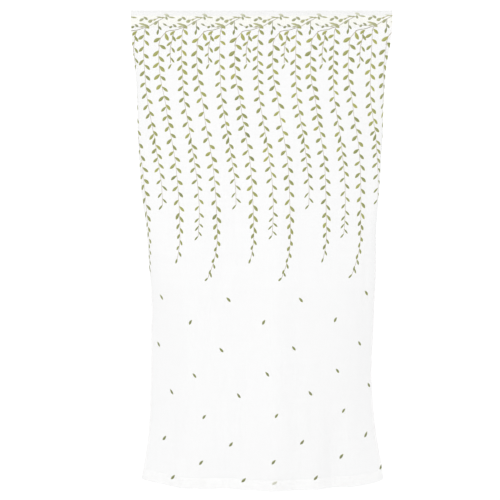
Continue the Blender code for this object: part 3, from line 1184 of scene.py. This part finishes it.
# %% Print group
COVERS_FROM = 0.3
TONE_WITHOUT_INK = 0.5
CLOUD_NOISE = (320.0, 2.0)
CLOUD = (0.3, 0.7, 0.90, 1.0)
TINT_NOISE = (90.0, 1.0)
TINT = (0.3, 0.7, -0.05, 0.05)
leaf_sockets = {f"Leaf {number}": "Vector" for number in range(LEAF_LAYERS)}
stem_sockets = {f"Stem {number}": "Vector" for number in range(STEM_LAYERS)}
print_group, given, put = new_group(
    "willow print",
    {"Place": "Vector", **leaf_sockets, **stem_sockets},
    {"Ink": "Float", "Tone": "Float"},
)
ink, tone = 0.0, TONE_WITHOUT_INK
for labels, group in ((stem_sockets, stem_group), (leaf_sockets, leaf_group)):
    for label in labels:
        mark = place_group(print_group, group, {"Place": given[label]})
        ink = sum_up(print_group, "MAXIMUM", ink, mark["Mask"])
        covers = sum_up(print_group, "GREATER_THAN", mark["Mask"], COVERS_FROM)
        tone = blend_numbers(print_group, covers, tone, mark["Tone"])
cloud = ramp_between(print_group, noise(print_group, given["Place"], *CLOUD_NOISE), *CLOUD)
tint = ramp_between(print_group, noise(print_group, given["Place"], *TINT_NOISE), *TINT)
feed(print_group, put["Ink"], times(print_group, ink, cloud))
feed(print_group, put["Tone"], sum_up(print_group, "ADD", tone, tint))
print("print group with", len(print_group.nodes), "nodes")

# %% [markdown]
# The ink's colours follow the tones of the charts: reddish brown for stems, greyed green and olive
# for leaves, and a pale grey at the top for the one leaf that shows through the hem.

# %% Colours of the ink
INK_COLOURS = (
    (0.00, (0.230, 0.135, 0.105)),
    (0.15, (0.140, 0.122, 0.080)),
    (0.24, (0.080, 0.102, 0.040)),
    (0.34, (0.135, 0.156, 0.040)),
    (0.60, (0.198, 0.211, 0.055)),
    (0.80, (0.278, 0.284, 0.055)),
    (0.87, (0.290, 0.245, 0.050)),
    (0.94, (0.480, 0.480, 0.460)),
    (1.00, (0.500, 0.500, 0.480)),
)


def add_ink_ramp(tree, tone):
    """The ink's colour for a tone. A new ramp has a stop at 0 and one at 1: the rest are added."""
    node = tree.nodes.new("ShaderNodeValToRGB")
    stops = node.color_ramp.elements
    for place, _ in INK_COLOURS[1:-1]:
        stops.new(place)
    for stop, (_, colour) in zip(stops, INK_COLOURS):
        stop.color = (*colour, 1.0)
    feed(tree, node.inputs[0], tone)
    return node.outputs["Color"]


print("ink colours", len(INK_COLOURS))

# %% [markdown]
# One function makes both cloth finishes. White cloth shows between the ink, and light comes through
# its open squares, so the shader's Alpha follows the cover of the weave. Ink closes the squares a
# little. From behind, the face's Backfacing lets the print show paler, as it does on real voile.
# Where the cloth is turned back and lies double its colour is painted whiter, a painted light. The ink's
# yellow part creeps a little further into the threads than the rest, so each leaf has a thin yellower
# rim. The pocket is faintly yellow below the rod, where the print behind shines through, and its whites
# are painted lighter than the sheet's, a painted light. Over the rod it is painted a little greyer, a
# painted shade of the rod.

# %% Cloth finish
THREAD_PITCH = 0.48 * MM
CLOTH_SHADER = {
    "Roughness": 0.85,
    "Specular IOR Level": 0.2,
    "Sheen Weight": 0.15,
    "Sheen Roughness": 0.5,
}
WEAVE_RELIEF = (0.25, 0.1 * MM)
STREAK_RANGE = (0.35, 0.65)
INK_BEHIND = 0.55
RIM_AT = 0.5
CLOSED_ALPHA = 0.97
HEM_EDGE = 1 * MM
BAND_EDGE = 3 * MM
# Painted light: the whiter colour of the double hems.
HEM_PAINTED_LIGHT_COLOUR = (0.862, 0.862, 0.86, 1.0)
# Painted shade: the greyer colour of the band over the rod.
ROD_SHADE_COLOUR = (0.812, 0.812, 0.808, 1.0)
POCKET_INK = (0.82, 0.40)


def hems_painted_lighter(tree, place, white, hems):
    """Where the cloth lies double, past a place across or a place down, its colour is painted whiter: a
    painted light.
    """
    across, down, _ = parts_of(tree, place)
    at_side = ramp_between(tree, size_of(tree, across), hems[0] - HEM_EDGE, hems[0] + HEM_EDGE)
    at_foot = ramp_between(tree, down, hems[1] - HEM_EDGE, hems[1] + HEM_EDGE)
    return blend_colours(tree, sum_up(tree, "MAXIMUM", at_side, at_foot), white, HEM_PAINTED_LIGHT_COLOUR)


def painted_rod_shade(tree, place, band):
    """Share of the painted rod shade: 1 where the cloth is less than the band's length from the fold, and
    0 further down.
    """
    from_fold = size_of(tree, parts_of(tree, place)[1])
    return ramp_between(tree, from_fold, band - BAND_EDGE, band + BAND_EDGE, 1.0, 0.0)


def printed_cloth(name, whites, rim_colour, open_alpha, band=None, hems=None):
    """Voile with the print. Whites are the greyer and the paler colour that its streaks blend, and
    rim colour is that of the cloth right under the ink's edge. Band is the length of cloth on each
    side of the fold that lies over the rod, where the print is faint and the cloth is painted greyer,
    a painted shade of the rod: only the pocket has it. Hems are the places across and down where the
    cloth begins to be double, and from where it is painted whiter, a painted light."""
    material, tree, shader = new_finish(name, CLOTH_SHADER)
    uv_map = tree.nodes.new("ShaderNodeUVMap")
    uv_map.uv_map = "cloth"
    place = uv_map.outputs[0]
    threads = place_group(tree, weave, {"Place": place, "Thread Pitch": THREAD_PITCH})
    layers = {"Place": place}
    for label in (*leaf_sockets, *stem_sockets):
        layer = tree.nodes.new("ShaderNodeAttribute")
        layer.attribute_name = label.lower().replace(" ", "_")
        layers[label] = layer.outputs["Vector"]
    marks = place_group(tree, print_group, layers)
    behind = tree.nodes.new("ShaderNodeNewGeometry").outputs["Backfacing"]
    ink = times(tree, marks["Ink"], ramp_between(tree, behind, 0.0, 1.0, 1.0, INK_BEHIND, soft=False))
    streak = ramp_between(tree, threads["Streak"], *STREAK_RANGE)
    white = blend_colours(tree, streak, *[(*colour, 1.0) for colour in whites])
    # Painted light: the hems are painted whiter.
    if hems:
        white = hems_painted_lighter(tree, place, white, hems)
    # Painted shade: over the rod the cloth's colour is painted greyer, and its print is fainter.
    if band:
        rod_shade_share = painted_rod_shade(tree, place, band)
        ink = times(tree, ink, ramp_between(tree, rod_shade_share, 0.0, 1.0, *POCKET_INK))
        white = blend_colours(tree, rod_shade_share, white, ROD_SHADE_COLOUR)
    white = blend_colours(tree, ramp_between(tree, ink, 0.0, RIM_AT), white, rim_colour)
    colour = blend_colours(tree, ink, white, add_ink_ramp(tree, marks["Tone"]))
    feed(tree, shader.inputs["Base Color"], colour)
    cover = blend_numbers(tree, threads["Cover"], open_alpha, CLOSED_ALPHA)
    feed(tree, shader.inputs["Alpha"], blend_numbers(tree, ink, cover, CLOSED_ALPHA))
    emboss(tree, shader, threads["Height"], *WEAVE_RELIEF)
    return material


print("cloth finish ready, threads per cm:", round(10 * MM / THREAD_PITCH, 1))

# %% [markdown]
# The hanging cloth is thin and its hems are double. The pocket is two cloths close together, so it
# lets less light through, and its whites are painted lighter than the sheet's: a painted light.

# %% Both cloths
SHEET_WHITES = (0.77, 0.77, 0.771), (0.80, 0.80, 0.801)
SHEET_RIM = (0.74, 0.75, 0.30, 1.0)
SHEET_ALPHA = 0.35
HEM_PLACES = (HALF - SIDE_HEM, SEAM_DROP + SHEET_LENGTH - BOTTOM_HEM)
# Painted light: the pocket's whites are lighter than the sheet's, to make up for the light its two cloths
# hold back.
POCKET_WHITES_PAINTED_LIGHTER = (0.845, 0.84, 0.80), (0.875, 0.87, 0.83)
POCKET_RIM = (0.78, 0.78, 0.60, 1.0)
POCKET_ALPHA = 0.55
BAND_HEIGHT = 24 * MM
OVER_ROD = float(cloth_drop(BAND_HEIGHT))
voile = printed_cloth("printed voile", SHEET_WHITES, SHEET_RIM, SHEET_ALPHA, hems=HEM_PLACES)
pocket_voile = printed_cloth("pocket voile", POCKET_WHITES_PAINTED_LIGHTER, POCKET_RIM, POCKET_ALPHA, band=OVER_ROD)
hanging_cloth.data.materials.append(voile)
pocket_cloth.data.materials.append(pocket_voile)
print("finishes", [material.name for material in (voile, pocket_voile)])

# %% [markdown]
# The hems and the pocket are held by lock stitches: short threads on the face and on the back, in
# step with each other. First the middles of the stitches are laid out on the flat sheet, along its
# four seams.

# %% Lines of stitches
STITCH_PITCH = 3.2 * MM
SEAM_INSET = 2.0 * MM
HEM_INSET = 2.0 * MM


def stitch_line(u_from, v_from, u_to, v_to):
    """Middles of the stitches along a straight line on the flat sheet, and its direction there."""
    long = math.hypot(u_to - u_from, v_to - v_from)
    at = np.arange(STITCH_PITCH / 2, long, STITCH_PITCH) / long
    u = u_from + (u_to - u_from) * at
    v = v_from + (v_to - v_from) * at
    return np.stack([u, v, 0 * u + (u_to - u_from) / long, 0 * u + (v_to - v_from) / long], axis=1)


side_line = HALF - SIDE_HEM + HEM_INSET
foot_line = SHEET_LENGTH - BOTTOM_HEM + HEM_INSET
stitch_places = np.concatenate([
    stitch_line(-HALF, SEAM_INSET, HALF, SEAM_INSET),
    stitch_line(-side_line, SEAM_INSET, -side_line, foot_line),
    stitch_line(side_line, SEAM_INSET, side_line, foot_line),
    stitch_line(-HALF, foot_line, HALF, foot_line),
])
print("stitches on each face", len(stitch_places))

# %% [markdown]
# Each stitch is a small spindle along its seam, a hexagon at both shoulders and a point at both
# ends. The same fourteen points are added to every stitch's own place and directions, and all
# stitches are one mesh. An instance for each would look the same, but it wouldn't be exported.

# %% Stitches
STITCH_LENGTH = 2.5 * MM
THREAD = 0.32 * MM
THREAD_OUT = 0.3
SPINDLE_SIDES = 6
SPINDLE_POINTS = 2 * SPINDLE_SIDES + 2
SHOULDER = 0.32


def unit(vectors):
    """Vectors brought to length one."""
    return vectors / np.linalg.norm(vectors, axis=-1, keepdims=True)


def stitch_points(places, depth):
    """All stitches' points: middle + direction times place along + two sides times the hexagon."""
    u, v, du, dv = places.T
    middle = sample(base, u, v)
    out = unit(sample(base_normals, u, v))
    ahead = sample(base, u + du * STITCH_LENGTH / 2, v + dv * STITCH_LENGTH / 2)
    back = sample(base, u - du * STITCH_LENGTH / 2, v - dv * STITCH_LENGTH / 2)
    along = unit(ahead - back)
    side = np.cross(out, along)
    turns = np.arange(SPINDLE_SIDES) * 2 * math.pi / SPINDLE_SIDES
    ring = np.stack([0 * turns, np.cos(turns), np.sin(turns)], axis=1) * THREAD / 2
    shoulder = np.array([SHOULDER, 0.0, 0.0])
    shape = np.concatenate([[[-0.5, 0.0, 0.0]], ring - shoulder, ring + shoulder, [[0.5, 0.0, 0.0]]])
    shape[:, 0] *= STITCH_LENGTH
    directions = np.stack([along, side, out], axis=1)
    return (middle + out * depth)[:, None, :] + np.einsum("pk,nkx->npx", shape, directions)


def stitch_faces(count):
    """Triangles and quads of one spindle, repeated with the numbers of each stitch's points."""
    near = np.arange(SPINDLE_SIDES) + 1
    far = near + SPINDLE_SIDES
    start = np.stack([0 * near, np.roll(near, -1), near], axis=1)
    end = np.stack([0 * far + SPINDLE_POINTS - 1, far, np.roll(far, -1)], axis=1)
    tube = np.stack([near, np.roll(near, -1), np.roll(far, -1), far], axis=1)
    offsets = np.arange(count)[:, None, None] * SPINDLE_POINTS
    triangles = (np.concatenate([start, end])[None] + offsets).reshape(-1, 3)
    quads = (tube[None] + offsets).reshape(-1, 4)
    return triangles.tolist() + quads.tolist()


on_face = stitch_points(stitch_places, -THREAD_OUT * THREAD)
on_back = stitch_points(stitch_places, 2 * SIDE_BEND + THREAD_OUT * THREAD)
stitch_all = np.concatenate([on_face, on_back])
stitch_mesh = bpy.data.meshes.new("stitching")
stitch_mesh.from_pydata(stitch_all.reshape(-1, 3).tolist(), [], stitch_faces(len(stitch_all)))
stitch_mesh.shade_smooth()
stitching = into_scene("stitching", stitch_mesh)
print("stitches on both faces", len(stitch_all))

# %% [markdown]
# Sewing thread is twisted, with a low shine. Its plies run round it at a slant, so stripes on a
# slanted place stand for them.

# %% Thread finish
PLY_PITCH = 0.45 * MM
PLY_COLOURS = (0.70, 0.70, 0.69, 1.0), (0.80, 0.80, 0.79, 1.0)
PLY_RELIEF = (0.4, 0.05 * MM)
thread, tree, shader = new_finish("sewing thread", {"Roughness": 0.6})
x, y, z = parts_of(tree, tree.nodes.new("ShaderNodeTexCoord").outputs["Object"])
slant = sum_up(tree, "ADD", sum_up(tree, "ADD", x, z), y)
plies = sum_up(tree, "SINE", times(tree, slant, 2 * math.pi / PLY_PITCH))
share = ramp_between(tree, plies, -1.0, 1.0)
feed(tree, shader.inputs["Base Color"], blend_colours(tree, share, *PLY_COLOURS))
emboss(tree, shader, plies, *PLY_RELIEF)
stitch_mesh.materials.append(thread)
print("thread finish ready")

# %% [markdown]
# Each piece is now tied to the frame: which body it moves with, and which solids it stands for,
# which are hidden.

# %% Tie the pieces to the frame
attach(hanging_cloth, "root")
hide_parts("panel")
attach(pocket_cloth, "root")
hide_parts("heading")
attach(stitching, "root")

# %% [markdown]
# The studio is as plain as can be: a white surround, and a pale floor well below the hem. The floor
# is a grid too, and the same function makes its mesh.

# %% Surround and floor
SURROUND = {"Color": (1.0, 1.0, 1.0, 1.0), "Strength": 1.12}
FLOOR_Z = -2.30
FLOOR_SIZE = 60.0
FLOOR_STEP = 5.0
bpy.context.scene.view_settings.view_transform = "Standard"
world = bpy.data.worlds.new("studio")
bpy.context.scene.world = world
world.use_nodes = True
for label, value in SURROUND.items():
    world.node_tree.nodes["Background"].inputs[label].default_value = value
floor_across = even_steps(-FLOOR_SIZE / 2, FLOOR_SIZE / 2, FLOOR_STEP)
floor_x, floor_y = np.meshgrid(floor_across, floor_across)
floor_points = np.stack([floor_x, -floor_y, 0 * floor_x + FLOOR_Z], axis=-1)
floor = cloth_mesh("floor", floor_points, floor_across, floor_across)
floor_finish, _, _ = new_finish("pale floor", {"Base Color": (0.94, 0.94, 0.94, 1.0), "Roughness": 0.9})
floor.data.materials.append(floor_finish)
print("surround", SURROUND["Strength"], "floor at", FLOOR_Z)

# %% [markdown]
# One big soft light stands in front and a little to the left, at the height of the cloth's lower
# third. White cloth in a white surround needs little more than that to show its folds.

# %% Light
KEY_PLACE = (-1.0, -4.8, -1.6)
KEY_AIM = (0.0, 0.0, -1.0)
KEY_SIZE = 3.0
KEY_POWER = 36.0
key_data = bpy.data.lights.new("key", "AREA")
key_data.shape = "DISK"
key_data.size = KEY_SIZE
key_data.energy = KEY_POWER
key = into_scene("key", key_data)
towards = np.array(KEY_AIM) - np.array(KEY_PLACE)
upwards = math.atan2(towards[2], math.hypot(towards[0], towards[1]))
key.location = KEY_PLACE
key.rotation_euler = (math.pi / 2 + upwards, 0.0, -math.atan2(towards[0], towards[1]))
print("key light", KEY_POWER, "W")

# %% [markdown]
# The camera stands level, straight in front, a little left of the middle and at half height. Four
# metres away with a 70 mm lens the 500 pixel frame spans 2.05 m at the rod.

# %% Camera
CAMERA_PLACE = (-0.0475, -4.0, -0.9680)
LENS = 70.25
SENSOR = 36.0
camera_data = bpy.data.cameras.new("camera")
camera_data.lens = LENS
camera_data.sensor_width = SENSOR
camera = into_scene("camera", camera_data)
camera.location = CAMERA_PLACE
camera.rotation_euler = (math.pi / 2, 0.0, 0.0)
bpy.context.scene.camera = camera
print("camera", CAMERA_PLACE, "lens", LENS)
